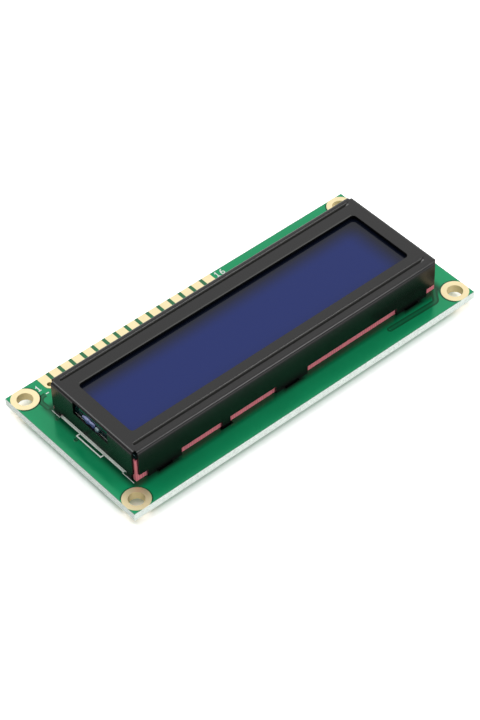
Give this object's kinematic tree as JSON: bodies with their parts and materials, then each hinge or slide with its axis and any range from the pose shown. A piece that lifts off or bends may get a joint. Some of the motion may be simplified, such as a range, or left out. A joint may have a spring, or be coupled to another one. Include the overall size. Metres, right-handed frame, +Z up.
{
  "type": "character lcd module",
  "caption": "Character display module: a green circuit board with corner mounting holes and a header row, carrying a glass display cell under a stamped black bezel with a wide window.",
  "frame": {"origin": "under the middle of the circuit board, on the plane that the bezel's twisted tabs stand on", "axes": "+X along the board, so that pin 1 of the header row is near the -X end; +Y from the front edge to the edge with the header row; +Z up through the display glass"},
  "size_m": [0.08, 0.036, 0.0103],
  "materials": {
    "solder_mask": "glossy green solder mask over glass-fibre laminate",
    "gold_plating": "thin gold over copper",
    "bezel_steel": "satin black lacquer on sheet steel",
    "pink_elastomer": "matt layered silicone",
    "cell_glass": "clear",
    "polariser_film": "glossy blue film",
    "seal_glue": "cured pale glue",
    "tray_plastic": "moulded white plastic",
    "white_film": "white film",
    "clear_acrylic": "clear polished plastic",
    "lamp_body": "pale moulded lamp",
    "tinned_metal": "dull tin plate",
    "solder": "bright solder",
    "silicon": "polished silicon",
    "black_epoxy": "cured black epoxy",
    "resistor_body": "black glaze on ceramic",
    "capacitor_body": "bare tan ceramic"
  },
  "bodies": {
    "root": {"circuit_board": "solder_mask", "mounting_hole_plating": "gold_plating", "header_pads": "gold_plating", "bezel": "bezel_steel", "front_elastomer_strip": "pink_elastomer", "rear_elastomer_strip": "pink_elastomer", "front_contact_pads": "gold_plating", "rear_contact_pads": "gold_plating", "front_glass": "cell_glass", "rear_glass": "cell_glass", "front_polariser": "polariser_film", "rear_polariser": "polariser_film", "cell_edge_seal": "seal_glue", "cell_end_seal": "seal_glue", "backlight_tray": "tray_plastic", "reflector_sheet": "white_film", "light_guide": "clear_acrylic", "diffuser_sheet": "white_film", "backlight_lamp": "lamp_body", "lamp_legs": "tinned_metal", "lamp_hole_plating": "gold_plating", "lamp_solder": "solder", "controller_die": "silicon", "driver_die": "silicon", "controller_epoxy_cap": "black_epoxy", "driver_epoxy_cap": "black_epoxy", "chip_resistors": "resistor_body", "chip_capacitors": "capacitor_body", "chip_end_caps": "tinned_metal", "chip_lands": "gold_plating", "chip_solder": "solder"}
  },
  "joints": []
}
